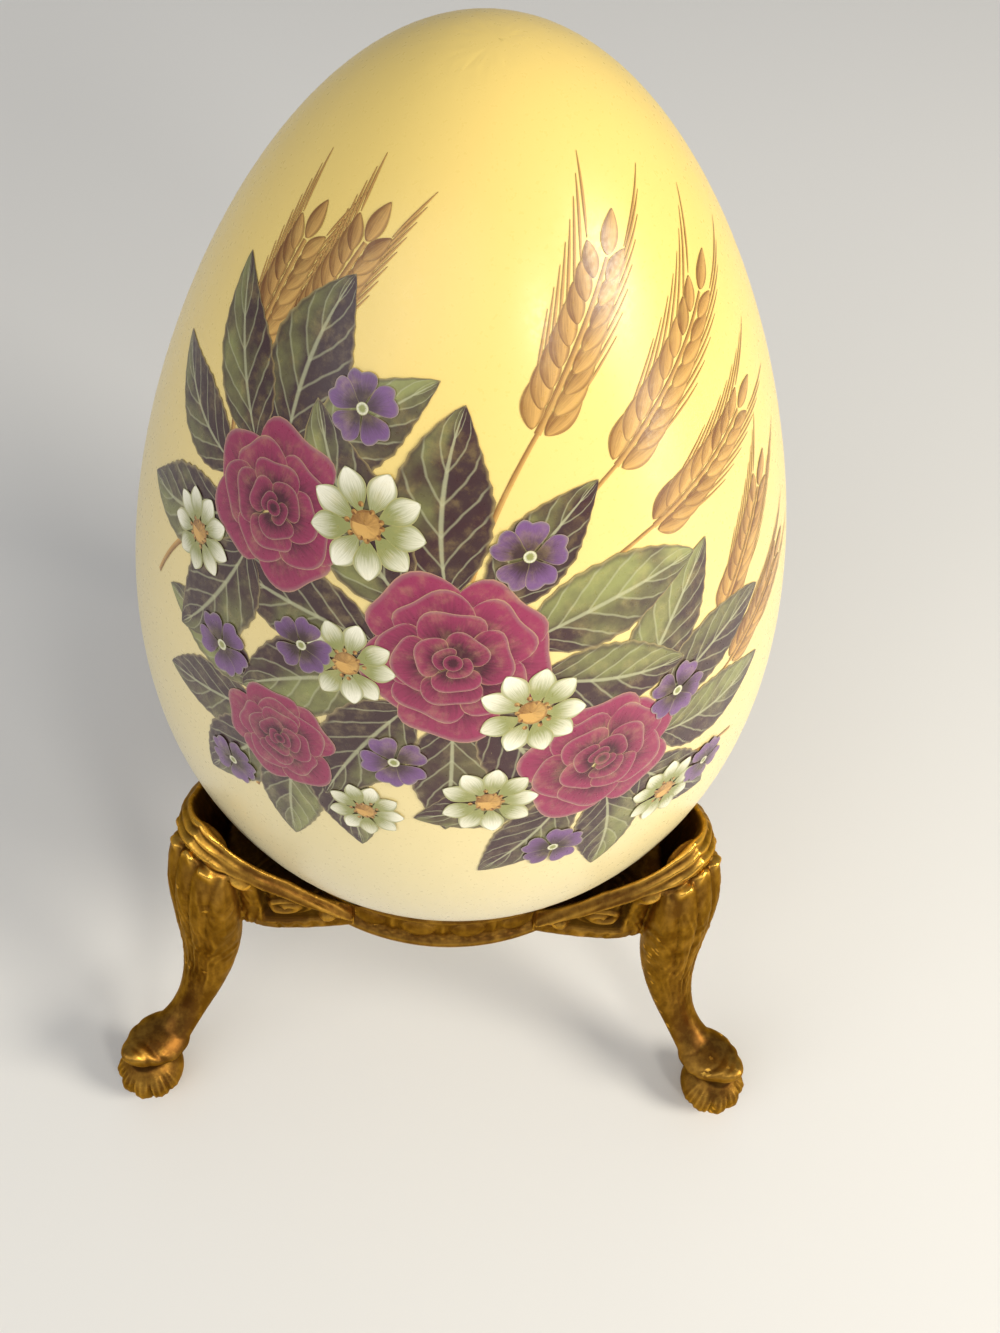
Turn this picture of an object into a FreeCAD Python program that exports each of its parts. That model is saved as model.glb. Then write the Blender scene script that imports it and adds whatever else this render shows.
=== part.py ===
"""Decorative porcelain egg in a cast stand with four cabriole legs.

Millimetres, +Z up. The origin is on the table, under the middle of the egg.
"""

import FreeCAD, Part
import math
import os

from FreeCAD import Vector

# Egg, a hollow slip casting
egg_width = 62.8
egg_height = 94.6
shell_wall = 3.0
vent_diameter = 4.0
blunt_share = 0.28  # how far the widest place sits below mid-height
blunt_curve_share = 0.06

# Seat ring
ring_radius = 25.7
ring_wall = 2.4
ring_height = 8.0
ring_base_height = 23.4
ring_lip = 1.3
ring_recess = 0.7
seat_clearance = 0.2
rim_gap = 0.7  # between the egg and the rim

# Rim that the arms of the legs carry
rim_half = 25.8  # from the axis to the rim's inner edge, in the middle of a side
rim_corner_radius = 8.0
arm_lift = 5.0  # from the ring's base up to the arms' lower edge
arm_tip_offset = 9.6  # from the middle of a side to an arm's tip
arm_bite = 0.6  # how far the tips' backs reach into the ring before they are fitted to it
arm_inset = 1.8  # of the arms' lower edge, inward from the rim's inner edge
web_wall = 1.4
web_lift = 0.6  # from the arms' lower edge up to the web's underside
knee_rise = 20.3  # from the arms' lower edge to the rim's top at the knee
moulding_width = 1.6
arm_wall = 2.0
knee_moulding_width = 1.9

# Leg
knee_radius = 35.1  # from the axis to the middle of the knee
leg_reach = 48.0  # from the axis to the middle of a foot
knee_width = 8.5
knee_depth = 7.0

# Foot
pad_length = 8.2
pad_width = 6.9
pad_thickness = 5.0
pad_height = 8.7  # of its middle
pad_setback = 1.7  # of its middle, inward from the paw's
paw_width = 7.6
paw_height = 7.4
sole_cut = 0.25  # taken off the paw's round underside, to stand on
toe_count = 5
toe_spread_degrees = 34.0
toe_groove = 0.5

overrun = 1.0
leg_count = 4
leg_azimuth = 45.0


def egg_factor(angle):
    """Half-width of the unit egg at an angle from its blunt end, before it is scaled to 1."""
    lean = math.cos(angle)
    return math.sin(angle) * (1 + blunt_share * lean + blunt_curve_share * lean * lean)


profile_steps = 720
bisection_steps = 50
egg_steps = 28
widest_factor = max(egg_factor(math.pi * i / profile_steps) for i in range(profile_steps))


def egg_radius_at(angle, width):
    return width / 2 * egg_factor(angle) / widest_factor


def egg_depth_at(angle, height):
    """Height above the blunt end."""
    return height / 2 * (1 - math.cos(angle))


def angle_of_radius(radius, width):
    """First angle above the blunt end at which the egg is as wide as asked."""
    low, high = 0.0, math.pi / 3
    for _ in range(bisection_steps):
        middle = (low + high) / 2
        if egg_radius_at(middle, width) < radius:
            low = middle
        else:
            high = middle
    return low


ring_top = ring_base_height + ring_height
seat_radius = ring_radius - ring_wall / 2 - seat_clearance
egg_base = ring_top - egg_depth_at(angle_of_radius(seat_radius, egg_width), egg_height)


def egg_solid(width, height, base):
    points = []
    for i in range(egg_steps + 1):
        angle = math.pi * i / egg_steps
        points.append(Vector(egg_radius_at(angle, width), 0, base + egg_depth_at(angle, height)))
    points[-1].x = 0
    curve = Part.BSplineCurve()
    outward = Vector(1, 0, 0)
    curve.interpolate(Points=points, InitialTangent=outward, FinalTangent=-outward, Scale=False)
    axis = Part.makeLine(points[-1], points[0])
    face = Part.Face(Part.Wire([curve.toShape(), axis]))
    return face.revolve(Vector(0, 0, 0), Vector(0, 0, 1), 360)


def make_egg_shell():
    outer = egg_solid(egg_width, egg_height, egg_base)
    inner = egg_solid(egg_width - 2 * shell_wall, egg_height - 2 * shell_wall, egg_base + shell_wall)
    vent = Part.makeCylinder(vent_diameter / 2, shell_wall + 2 * overrun, Vector(0, 0, egg_base - overrun))
    return outer.cut(inner).cut(vent)


def make_seat_ring():
    """A band with a lip above and below a recess, bevelled inside to the egg's own curve."""
    inner = ring_radius - ring_wall
    recess = ring_radius - ring_recess
    outline = [
        (inner, ring_base_height),
        (ring_radius - ring_lip / 3, ring_base_height),
        (ring_radius, ring_base_height + ring_lip / 3),
        (ring_radius, ring_base_height + ring_lip),
        (recess, ring_base_height + ring_lip + ring_recess),
        (recess, ring_top - ring_lip - ring_recess),
        (ring_radius, ring_top - ring_lip),
        (ring_radius, ring_top),
        (inner, ring_top),
    ]
    points = [Vector(r, 0, z) for r, z in outline]
    band = Part.Face(Part.makePolygon(points + points[:1])).revolve(Vector(0, 0, 0), Vector(0, 0, 1), 360)
    grown = 2 * seat_clearance
    return band.cut(egg_solid(egg_width + grown, egg_height + grown, egg_base - seat_clearance))


# Rim and arms. Stations run from an arm's tip to the knee.
arm_base = ring_base_height + arm_lift
knee_top = arm_base + knee_rise
tip_rise_shares = (0.245, 0.385, 0.515, 0.635)
corner_rise_shares = (0.74, 0.84, 0.93, 1.0)
corner_centre = rim_half - rim_corner_radius


def rim_stations():
    """Inner edge of the rim from one arm's tip to the knee: point, outward direction, height, width."""
    stations = []
    tip_back = math.sqrt(ring_radius**2 - arm_tip_offset**2) - arm_bite + arm_inset
    tip_steps = len(tip_rise_shares)
    for i, share in enumerate(tip_rise_shares):
        along = arm_tip_offset + (corner_centre - arm_tip_offset) * i / tip_steps
        eased = math.sin(math.pi / 2 * i / tip_steps)
        point = Vector(along, tip_back + (rim_half - tip_back) * eased, 0)
        stations.append((point, Vector(0, 1, 0), arm_base + knee_rise * share, moulding_width))
    corner_steps = len(corner_rise_shares) - 1
    for i, share in enumerate(corner_rise_shares):
        turn = math.radians(leg_azimuth) * i / corner_steps
        outward = Vector(math.sin(turn), math.cos(turn), 0)
        point = Vector(corner_centre, corner_centre, 0) + outward * rim_corner_radius
        widened = (i / corner_steps) ** 2
        width = moulding_width + (knee_moulding_width - moulding_width) * widened
        stations.append((point, outward, arm_base + knee_rise * share, width))
    return stations


def mirrored(vector):
    """The vector on the other side of the leg's own plane."""
    return Vector(vector.y, vector.x, vector.z)


# Arm: inset and wall, and height above the arm's lower edge, of the rim's own. Moulding: distance
# outward from the rim's inner edge, of its width, and height.
section_shares = (
    (-1.00, 0.00, 0.06),
    (-0.80, 0.15, 0.00),
    (-1.00, 1.00, 0.02),
    (-0.90, 1.05, 0.16),
    (-0.75, 0.85, 0.26),
    (-0.45, 0.75, 0.66),
)
moulding_shares = (
    (0.80, 0.79),
    (1.00, 0.85),
    (0.84, 0.905),
    (0.46, 0.965),
    (0.14, 1.00),
    (0.00, 0.985),
)


def rim_section(point, outward, height, width):
    """Outline of the arm under its moulding, at one place along the rim."""
    rise = height - arm_base
    outline = []
    for inset_share, wall_share, up_share in section_shares:
        spot = point + outward * (arm_inset * inset_share + arm_wall * wall_share)
        spot.z = arm_base + rise * up_share
        outline.append(spot)
    for out_share, up_share in moulding_shares:
        spot = point + outward * (width * out_share)
        spot.z = arm_base + rise * up_share
        outline.append(spot)
    return Part.makePolygon(outline + outline[:1])


def make_rim():
    """The two arms and the corner between them, for the leg on the diagonal of +X and +Y."""
    stations = rim_stations()
    sections = [rim_section(*station) for station in stations]
    for point, outward, height, width in reversed(stations[:-1]):
        sections.append(rim_section(mirrored(point), mirrored(outward), height, width))
    return Part.makeLoft(sections, True, False)


# Knee and shank, from the rim down to the paw: the middle's distance from the axis between the knee
# and the foot, its height, half-depth and half-width.
shank_shares = (
    (-0.12, 0.930, 0.22, 0.34),
    (-0.05, 0.880, 0.30, 0.45),
    (-0.01, 0.815, 0.37, 0.49),
    (0.01, 0.740, 0.42, 0.48),
    (0.02, 0.650, 0.45, 0.45),
    (0.04, 0.545, 0.46, 0.40),
    (0.13, 0.420, 0.40, 0.34),
    (0.27, 0.320, 0.32, 0.28),
    (0.45, 0.243, 0.26, 0.24),
    (0.64, 0.198, 0.28, 0.27),
    (0.82, 0.178, 0.32, 0.32),
)


def shank_middle(index):
    out_share, up_share = shank_shares[index][:2]
    return Vector(knee_radius + (leg_reach - knee_radius) * out_share, 0, knee_top * up_share)


def shank_section(index):
    """An ellipse across the shank, square to the way from the section above to the one below."""
    last = len(shank_shares) - 1
    if 0 < index < last:
        along = shank_middle(index + 1) - shank_middle(index - 1)
    elif index == last:
        along = shank_middle(last) - shank_middle(last - 1)
    else:
        along = Vector(0, 0, -1)
    along.normalize()
    sideways = Vector(0, 1, 0)
    half_depth = knee_depth * shank_shares[index][2]
    half_width = knee_width * shank_shares[index][3]
    if half_depth >= half_width:
        ellipse = Part.Ellipse(Vector(0, 0, 0), half_depth, half_width)
        long_way = sideways.cross(along)
    else:
        ellipse = Part.Ellipse(Vector(0, 0, 0), half_width, half_depth)
        long_way = sideways
    wire = Part.Wire(ellipse.toShape())
    wire.Placement = FreeCAD.Placement(
        shank_middle(index), FreeCAD.Rotation(long_way, along.cross(long_way), along, "ZXY")
    )
    return wire


def ellipsoid(middle, length, width, height):
    ball = Part.makeSphere(1)
    stretch = FreeCAD.Matrix()
    stretch.scale(length / 2, width / 2, height / 2)
    grown = ball.transformGeometry(stretch)
    grown.translate(middle)
    return grown


def make_foot():
    """A pad over a toed paw with a flat sole."""
    pad = ellipsoid(Vector(leg_reach - pad_setback, 0, pad_height), pad_length, pad_width, pad_thickness)
    middle = Vector(leg_reach, 0, paw_height / 2 - sole_cut)
    paw = ellipsoid(middle, paw_width, paw_width, paw_height)
    for i in range(toe_count - 1):
        angle = toe_spread_degrees * (i - (toe_count - 2) / 2)
        edge = Vector(leg_reach + paw_width / 2, 0, 0)
        groove = Part.makeCylinder(toe_groove, paw_height, edge)
        groove.rotate(middle, Vector(0, 0, 1), angle)
        paw = paw.cut(groove)
    under = Part.makeBox(2 * paw_width, 2 * paw_width, paw_height)
    under.translate(Vector(leg_reach - paw_width, -paw_width, -paw_height))
    return pad.fuse(paw).cut(under)


def make_web():
    """The thin floor of the casting, between its two arms and the ring."""
    reach = rim_half - arm_inset + arm_wall / 2
    span = reach - arm_tip_offset
    web = Part.makeBox(span, span, web_wall, Vector(arm_tip_offset, arm_tip_offset, arm_base + web_lift))
    middle = (reach + arm_tip_offset) / 2
    corner = [edge for edge in web.Edges if min(edge.BoundBox.XMin, edge.BoundBox.YMin) > middle]
    return web.makeFillet(reach - corner_centre, corner)


def make_leg(ring_fit, egg_fit):
    """One casting on the diagonal of +X and +Y: rim, arms, web, knee, shank and foot."""
    shank = Part.makeLoft([shank_section(i) for i in range(len(shank_shares))], True, False)
    lower = shank.fuse(make_foot())
    lower.rotate(Vector(0, 0, 0), Vector(0, 0, 1), leg_azimuth)
    leg = make_rim().fuse([make_web(), lower]).cut(ring_fit).cut(egg_fit)
    return leg.removeSplitter()


def main():
    os.makedirs("parts", exist_ok=True)
    egg_shell = make_egg_shell()
    seat_ring = make_seat_ring()
    ring_fit = Part.makeCylinder(ring_radius, knee_top)
    egg_fit = egg_solid(egg_width + 2 * rim_gap, egg_height + 2 * rim_gap, egg_base - rim_gap)
    parts = {"egg_shell": egg_shell, "seat_ring": seat_ring}
    leg = make_leg(ring_fit, egg_fit)
    for i, place in enumerate(("back_right", "back_left", "front_left", "front_right")):
        turned = leg.copy()
        turned.rotate(Vector(0, 0, 0), Vector(0, 0, 1), i * 360 / leg_count)
        parts["leg_" + place] = turned
    for name, shape in parts.items():
        solids = shape.Solids
        print(name, shape.isValid(), len(solids), round(shape.Volume, 1), shape.BoundBox)
        solids[0].exportStep("parts/%s.step" % name)


if __name__ == "__main__":
    main()
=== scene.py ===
"""Dresses a porcelain egg with a painted floral spray, and the gilt cast stand it sits in."""

import math
import random

import bpy
import numpy as np
from bpy.props import FloatProperty, FloatVectorProperty, PointerProperty
from mathutils import Euler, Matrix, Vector


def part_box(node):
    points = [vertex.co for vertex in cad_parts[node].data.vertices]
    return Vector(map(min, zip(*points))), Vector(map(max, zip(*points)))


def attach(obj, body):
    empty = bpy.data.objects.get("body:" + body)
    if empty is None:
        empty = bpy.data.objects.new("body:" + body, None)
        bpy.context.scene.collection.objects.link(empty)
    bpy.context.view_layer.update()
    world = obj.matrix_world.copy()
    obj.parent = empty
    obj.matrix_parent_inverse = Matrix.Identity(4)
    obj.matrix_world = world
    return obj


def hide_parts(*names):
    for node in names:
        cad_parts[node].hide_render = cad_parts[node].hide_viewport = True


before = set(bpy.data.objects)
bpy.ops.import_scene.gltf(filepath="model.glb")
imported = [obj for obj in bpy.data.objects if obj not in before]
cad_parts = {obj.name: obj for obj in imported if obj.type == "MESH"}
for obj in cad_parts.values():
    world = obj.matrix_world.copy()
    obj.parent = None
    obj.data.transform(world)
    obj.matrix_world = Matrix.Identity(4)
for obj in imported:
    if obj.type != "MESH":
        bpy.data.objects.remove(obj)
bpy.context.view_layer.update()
egg_low, egg_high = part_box("egg_shell")
ring_low, ring_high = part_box("seat_ring")

bl_info = {
    "name": "Painted Egg on Gilt Stand",
    "version": (1, 0, 0),
    "blender": (4, 5, 0),
    "location": "View3D > Sidebar > Egg",
    "description": "Dresses a painted porcelain egg and its cast gilt stand",
    "category": "Object",
}

MM = 0.001
LEGS = {"leg_back_right": 45, "leg_back_left": 135, "leg_front_left": 225, "leg_front_right": 315}


def linear(red, green, blue):
    """A colour given in screen values, 0 to 255, as Blender's linear colour."""
    values = []
    for part in (red, green, blue):
        share = part / 255
        values.append(share / 12.92 if share <= 0.04045 else ((share + 0.055) / 1.055) ** 2.4)
    return tuple(values)


def colour(name, description, red, green, blue):
    return FloatVectorProperty(
        name=name, description=description, subtype="COLOR", size=3, min=0, max=1,
        default=linear(red, green, blue),
    )


def length(name, description, millimetres):
    return FloatProperty(
        name=name, description=description, default=millimetres * MM, min=0,
        subtype="DISTANCE", unit="LENGTH",
    )


def power(name, description, watts):
    return FloatProperty(name=name, description=description, default=watts, min=0, unit="POWER")


class EggSettings(bpy.types.PropertyGroup):
    crown: colour("Crown", "Glaze at the egg's point", 248, 216, 120)
    belly: colour("Belly", "Glaze round the widest place", 234, 217, 164)
    base: colour("Base", "Glaze at the blunt end", 218, 210, 186)
    print_lift: length("Print lift", "Height of the fired print over the glaze", 0.02)
    layer_lift: length("Layer lift", "From one painted layer to the next", 0.004)


class PrintSettings(bpy.types.PropertyGroup):
    plum: colour("Plum", "Dark of the roses", 70, 14, 34)
    rose: colour("Rose", "Light of the roses", 152, 50, 86)
    olive: colour("Olive", "Light of the leaves", 146, 148, 88)
    umber: colour("Umber", "Dark of the leaves", 66, 44, 44)
    tan: colour("Tan", "Wheat and stems", 214, 166, 90)
    brown: colour("Brown", "Shaded side of wheat and stems", 118, 72, 28)
    cream: colour("Cream", "Daisy petals", 248, 243, 220)
    violet: colour("Violet", "Violet petals", 122, 84, 132)


class StandSettings(bpy.types.PropertyGroup):
    gilt: colour("Gilt", "Burnished ridges of the gilding", 228, 175, 74)
    bronze: colour("Bronze", "Gilding in the hollows", 104, 69, 28)
    patina: colour("Patina", "Dark lacquer in the deepest places", 40, 22, 10)
    voxel: length("Detail", "Size of the leg casting's finest detail", 0.19)


class StageSettings(bpy.types.PropertyGroup):
    floor: colour("Floor", "Plain pale floor", 232, 230, 226)
    floor_span: length("Floor span", "Width of the floor", 6000)
    key: power("Key", "Power of the key lamp", 1.75)
    side: power("Side", "Power of the low lamp", 0.32)
    front: power("Front", "Power of the front lamp", 0.3)
    window: power("Window", "Power of the lamp that the glaze mirrors", 0.5)
    fill: power("Fill", "Power of the fill lamp", 0.60)
    lens: FloatProperty(name="Lens", description="Focal length", default=34.71, min=1, unit="CAMERA")


def smoothstep(low, high, value):
    share = np.clip((value - low) / (high - low), 0, 1)
    return share * share * (3 - 2 * share)


def ridge(value, middle, width):
    return np.exp(-(((value - middle) / width) ** 2))


# The egg's surface, with its outline as in its casting

BLUNT_SHARE = 0.28
BLUNT_CURVE_SHARE = 0.06
PROFILE_STEPS = 1440
SLOPE_REACH = 0.2 * MM

profile_angle = np.linspace(0, math.pi, PROFILE_STEPS + 1)
profile_lean = np.cos(profile_angle)
profile_factor = np.sin(profile_angle) * (
    1 + BLUNT_SHARE * profile_lean + BLUNT_CURVE_SHARE * profile_lean**2
)
profile_radius = (egg_high.x - egg_low.x) / 2 * profile_factor / profile_factor.max()
profile_height = egg_low.z + (egg_high.z - egg_low.z) / 2 * (1 - profile_lean)
profile_step = np.hypot(np.diff(profile_radius), np.diff(profile_height))
profile_arc = np.concatenate([[0], np.cumsum(profile_step)])


def on_egg(azimuth, arc, lift):
    """Points on the egg. Azimuth in radians from the front, turning right; arc is the way up the
    shell from its lowest point; lift is the height over the glaze."""
    radius = np.interp(arc, profile_arc, profile_radius)
    height = np.interp(arc, profile_arc, profile_height)
    ahead_radius = np.interp(arc + SLOPE_REACH, profile_arc, profile_radius)
    ahead_height = np.interp(arc + SLOPE_REACH, profile_arc, profile_height)
    slope = np.arctan2(ahead_height - height, ahead_radius - radius)
    radius = radius + np.sin(slope) * lift
    height = height - np.cos(slope) * lift
    return np.stack([radius * np.sin(azimuth), -radius * np.cos(azimuth), height], -1)


# Meshes

def new_mesh(name, points, faces, material, smooth=True):
    mesh = bpy.data.meshes.new(name)
    mesh.from_pydata([tuple(point) for point in points], [], faces)
    mesh.validate()
    if smooth:
        mesh.shade_smooth()
    mesh.materials.append(material)
    piece = bpy.data.objects.new(name, mesh)
    bpy.context.scene.collection.objects.link(piece)
    return piece


def read_vectors(items, name):
    """The named vector of every item, as rows of three."""
    values = np.empty(len(items) * 3, np.float32)
    items.foreach_get(name, values)
    return values.reshape(-1, 3).astype(float)


def point_attribute(mesh, name, values):
    attribute = mesh.attributes.new(name, "FLOAT", "POINT")
    attribute.data.foreach_set("value", np.array(values, np.float32))


# Shader building

# The mix node's sockets go by number, because its names repeat
MIX_FACTOR = 0
MIX_FIRST = 6
MIX_SECOND = 7
MIX_RESULT = 2


class Shader:
    """A material's node tree, with short calls for the nodes used here."""

    def __init__(self, name):
        self.material = bpy.data.materials.new(name)
        self.material.use_nodes = True
        self.tree = self.material.node_tree
        self.surface = self.tree.nodes["Principled BSDF"]

    def node(self, kind, settings=None, **inputs):
        made = self.tree.nodes.new(kind)
        for key, value in (settings or {}).items():
            setattr(made, key, value)
        for key, value in inputs.items():
            self.plug(made.inputs[key.replace("_", " ")], value)
        return made

    def plug(self, socket, value):
        if isinstance(value, bpy.types.NodeSocket):
            self.tree.links.new(value, socket)
        elif socket.type == "RGBA" and len(value) == 3:
            socket.default_value = (*value, 1)
        else:
            socket.default_value = value

    def give(self, **inputs):
        """Sets or links inputs of the surface itself."""
        for key, value in inputs.items():
            self.plug(self.surface.inputs[key.replace("_", " ")], value)

    def place(self):
        return self.node("ShaderNodeTexCoord").outputs["Object"]

    def attribute(self, name):
        return self.node("ShaderNodeAttribute", {"attribute_name": name}).outputs["Fac"]

    def math(self, operation, first, second=0.0, clamp=False):
        made = self.node("ShaderNodeMath", {"operation": operation, "use_clamp": clamp})
        self.plug(made.inputs[0], first)
        self.plug(made.inputs[1], second)
        return made.outputs[0]

    def plus(self, first, second, clamp=False):
        return self.math("ADD", first, second, clamp)

    def minus(self, first, second):
        return self.math("SUBTRACT", first, second)

    def times(self, first, second):
        return self.math("MULTIPLY", first, second)

    def noise(self, vector, scale, detail=3.0, roughness=0.55):
        made = self.node(
            "ShaderNodeTexNoise", Vector=vector, Scale=scale, Detail=detail, Roughness=roughness,
        )
        return made.outputs["Fac"]

    def spread(self, value, low, high, to_low=0.0, to_high=1.0):
        made = self.node(
            "ShaderNodeMapRange", {"interpolation_type": "SMOOTHSTEP"},
            Value=value, From_Min=low, From_Max=high, To_Min=to_low, To_Max=to_high,
        )
        return made.outputs["Result"]

    def mix(self, factor, first, second):
        made = self.node("ShaderNodeMix", {"data_type": "RGBA", "blend_type": "MIX"})
        self.plug(made.inputs[MIX_FACTOR], factor)
        self.plug(made.inputs[MIX_FIRST], first)
        self.plug(made.inputs[MIX_SECOND], second)
        return made.outputs[MIX_RESULT]

    def combine(self, x, y, z):
        return self.node("ShaderNodeCombineXYZ", X=x, Y=y, Z=z).outputs[0]

    def bump(self, height, strength, distance, normal=None):
        made = self.node("ShaderNodeBump", Height=height, Strength=strength, Distance=distance)
        if normal is not None:
            self.plug(made.inputs["Normal"], normal)
        return made.outputs[0]


# Materials

WHITE = (1, 1, 1)

# How fine each noise is, per metre
CLOUDS = 42.0
STIPPLE = 2600.0
ORANGE_PEEL = 420.0
THIN_PLACES = 650.0
LEAF_BLOTS = 240.0
PLUM_PATCHES = 120.0
MOTTLE = 240.0
STROKES = 900.0

# Where the glaze's tones meet, as shares of the egg's height, and how far they lean toward the right,
# the lit side, as painted light
BELLY_SHARE = 0.42
CROWN_START_SHARE = 0.3
LIT_SIDE_LEAN_SHARE = 0.25
CLOUD_SHARE = 0.1

# Side veins of a leaf, and how far they lean toward its tip
LEAF_VEINS = 6.0
VEIN_LEAN = 1.9


def between(first, second, share):
    """A colour between two others, with this share of the second."""
    return tuple((1 - share) * part + share * other for part, other in zip(first, second))


def glaze_colour(shader):
    """The glaze, yellower towards the point and ivory at the blunt end, with painted light making its
    lit right side yellower, and a faint cloudiness.
    """
    settings = bpy.context.scene.egg_settings
    tall = egg_high.z - egg_low.z
    place = shader.place()
    split = shader.node("ShaderNodeSeparateXYZ", Vector=place)
    # Painted light: the tones lean toward the right, the lit side, so that side turns yellower
    height_toward_lit_side = shader.plus(split.outputs["Z"], shader.times(split.outputs["X"], LIT_SIDE_LEAN_SHARE))
    lower = shader.spread(height_toward_lit_side, egg_low.z, egg_low.z + BELLY_SHARE * tall)
    upper = shader.spread(height_toward_lit_side, egg_low.z + CROWN_START_SHARE * tall, egg_high.z)
    body = shader.mix(lower, settings.base, settings.belly)
    body = shader.mix(upper, body, settings.crown)
    cloud = shader.spread(shader.noise(place, CLOUDS), 0.3, 0.7, 0.0, CLOUD_SHARE)
    return shader.mix(cloud, body, tuple(0.9 * part for part in settings.belly))


def glaze_surface(shader, colour_socket):
    """Satin glaze with the fine stipple that shows in its highlight."""
    place = shader.place()
    stipple = shader.noise(place, STIPPLE, 2.0)
    orange_peel = shader.noise(place, ORANGE_PEEL, 2.0)
    normal = shader.bump(stipple, 0.02, 0.00004)
    normal = shader.bump(orange_peel, 0.12, 0.00012, normal)
    roughness = shader.spread(stipple, 0.3, 0.7, 0.27, 0.38)
    shader.give(Base_Color=colour_socket, Normal=normal, Roughness=roughness)
    shader.give(Specular_IOR_Level=0.45, Coat_Weight=0.12, Coat_Roughness=0.28)


def porcelain():
    shader = Shader("satin_porcelain")
    glaze_surface(shader, glaze_colour(shader))
    return shader.material


def painted(name, colour_socket_of):
    """A fired colour, laid thin in places, so that the glaze shows through it."""
    shader = Shader(name)
    pigment = colour_socket_of(shader)
    thin = shader.noise(shader.place(), THIN_PLACES, 4.0, 0.65)
    cover = shader.spread(thin, 0.2, 0.55, 0.84, 1.0)
    cover = shader.times(cover, shader.spread(shader.attribute("edge"), 0.0, 0.10, 0.75, 1.0))
    glaze_surface(shader, shader.mix(cover, glaze_colour(shader), pigment))
    return shader.material


def leaf_colour(shader):
    """Olive leaf with one half in umber shade, a pale midrib, side veins and plum patches."""
    hues = bpy.context.scene.print_settings
    along = shader.attribute("along")
    across = shader.attribute("across")
    side = shader.math("ABSOLUTE", across)
    slant = shader.minus(shader.times(along, LEAF_VEINS), shader.times(side, VEIN_LEAN))
    wave = shader.math("FRACT", shader.plus(slant, 10.0))
    vein = shader.spread(shader.math("ABSOLUTE", shader.minus(wave, 0.5)), 0.40, 0.49)
    blot = shader.noise(shader.place(), LEAF_BLOTS, 5.0, 0.65)
    dark = shader.times(shader.minus(blot, 0.42), 1.5)
    dark = shader.plus(dark, shader.spread(across, -0.35, 0.35, 0.50, -0.10))
    dark = shader.plus(dark, shader.times(wave, 0.28))
    dark = shader.plus(dark, shader.spread(along, 0.0, 0.45, 0.45, 0.0))
    depth = shader.spread(shader.attribute("tint"), 0.0, 1.0, -0.25, 0.55)
    dark = shader.plus(dark, depth, clamp=True)
    body = shader.mix(dark, hues.olive, hues.umber)
    patches = shader.noise(shader.place(), PLUM_PATCHES)
    plum = shader.times(shader.spread(patches, 0.50, 0.66), 0.6)
    body = shader.mix(plum, body, between(hues.umber, hues.plum, 0.45))
    pale = between(hues.olive, hues.cream, 0.3)
    body = shader.mix(shader.times(vein, 0.45), body, pale)
    midrib = shader.spread(side, 0.07, 0.02)
    body = shader.mix(shader.times(midrib, 0.7), body, pale)
    rim = shader.spread(shader.attribute("edge"), 0.22, 0.05, 0.0, 0.6)
    return shader.mix(rim, body, hues.umber)


def petal_colour(dark_name, light_name, outline):
    """A petal, deep at its root and lighter to a bright lip, with fine streaks along it."""

    def colour_of(shader):
        hues = bpy.context.scene.print_settings
        dark = getattr(hues, dark_name)
        light = getattr(hues, light_name)
        along = shader.attribute("along")
        across = shader.attribute("across")
        tint = shader.attribute("tint")
        spot = shader.combine(shader.times(along, 1.2), shader.times(across, 7.0), tint)
        streak = shader.noise(spot, 2.4)
        share = shader.spread(along, 0.15, 0.95)
        share = shader.plus(share, shader.times(shader.minus(streak, 0.5), 0.9))
        share = shader.plus(share, shader.spread(tint, 0.0, 1.0, -0.28, 0.10), clamp=True)
        body = shader.mix(share, dark, light)
        lip = shader.spread(along, 0.90, 0.98, 0.0, 0.28)
        body = shader.mix(lip, body, between(light, WHITE, 0.25))
        shade = shader.spread(shader.attribute("edge"), 0.35, 0.05, 0.0, outline)
        return shader.mix(shade, body, between(dark, hues.olive, 0.5))

    return colour_of


def grain_colour(shader):
    """Wheat grains and stems, tan with a brown shaded side and fine fibres."""
    hues = bpy.context.scene.print_settings
    along = shader.attribute("along")
    across = shader.attribute("across")
    tint = shader.attribute("tint")
    streak = shader.noise(shader.combine(shader.times(across, 5.0), along, tint), 2.2)
    dark = shader.plus(shader.spread(across, -0.9, 0.9, 0.0, 0.75), shader.minus(streak, 0.5))
    dark = shader.plus(dark, shader.spread(tint, 0.0, 1.0, -0.15, 0.25), clamp=True)
    body = shader.mix(dark, hues.tan, hues.brown)
    rim = shader.spread(shader.attribute("edge"), 0.45, 0.1, 0.0, 0.6)
    return shader.mix(rim, body, hues.brown)


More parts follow.
